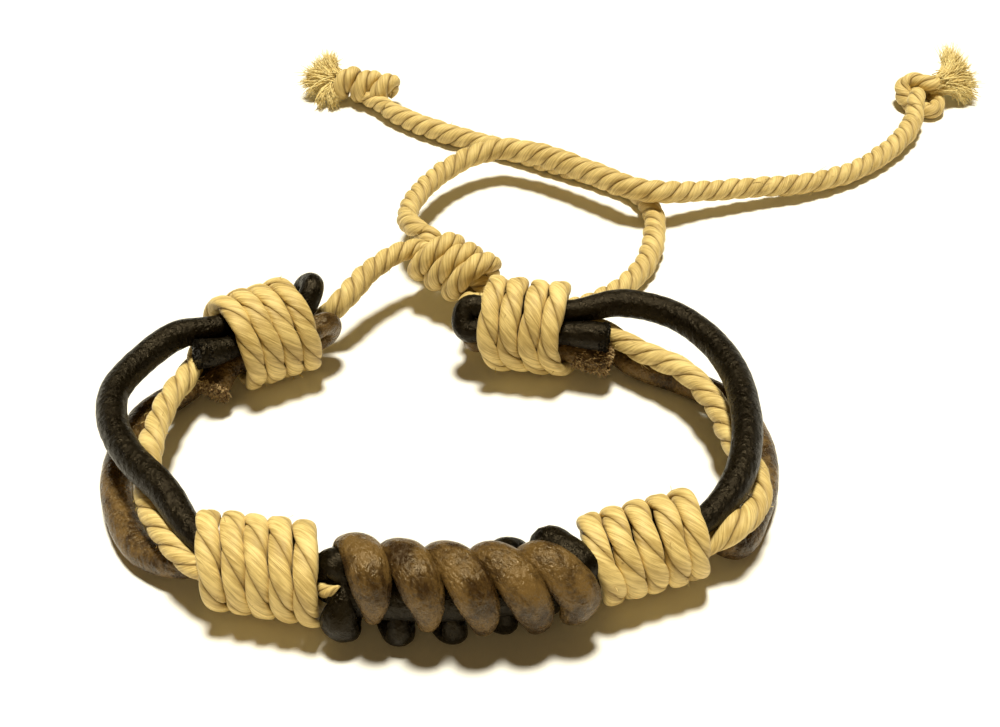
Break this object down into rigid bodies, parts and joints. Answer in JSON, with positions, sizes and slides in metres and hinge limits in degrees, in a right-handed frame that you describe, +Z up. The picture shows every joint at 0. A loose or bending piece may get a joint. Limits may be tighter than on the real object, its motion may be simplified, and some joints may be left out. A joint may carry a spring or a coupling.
{
  "type": "leather bracelet",
  "caption": "Adjustable bracelet of round leather cords and natural rope, bound with twine, with a snake knot in front and a sliding knot on frayed tie cords behind.",
  "frame": {"origin": "on the surface it lies on, under the middle of the band's bounding box, the free tie cords not counted", "axes": "+Z up, square to the surface it lies on, +X from the left side of the band to the right one, -Y towards the snake knot and +Y towards the tie cords"},
  "size_m": [0.1071, 0.1085, 0.0105],
  "materials": {
    "black_leather": "waxed round cord, fine grain",
    "brown_leather": "waxed round cord, mottled, fine grain",
    "natural_rope": "three-ply twisted natural fibre, matte with a slight sheen",
    "natural_twine": "two-ply twisted natural fibre, matte with a slight sheen"
  },
  "bodies": {
    "root": {"black_cord": "black_leather", "brown_cord": "brown_leather", "left_side_rope": "natural_rope", "right_side_rope": "natural_rope", "front_left_wrap": "natural_twine", "front_right_wrap": "natural_twine", "rear_left_wrap": "natural_twine", "rear_right_wrap": "natural_twine", "tie_cord_left": "natural_rope", "sliding_knot": "natural_rope", "tie_cord_right": "natural_rope", "left_end_knot": "natural_rope", "right_end_knot": "natural_rope"}
  },
  "joints": []
}
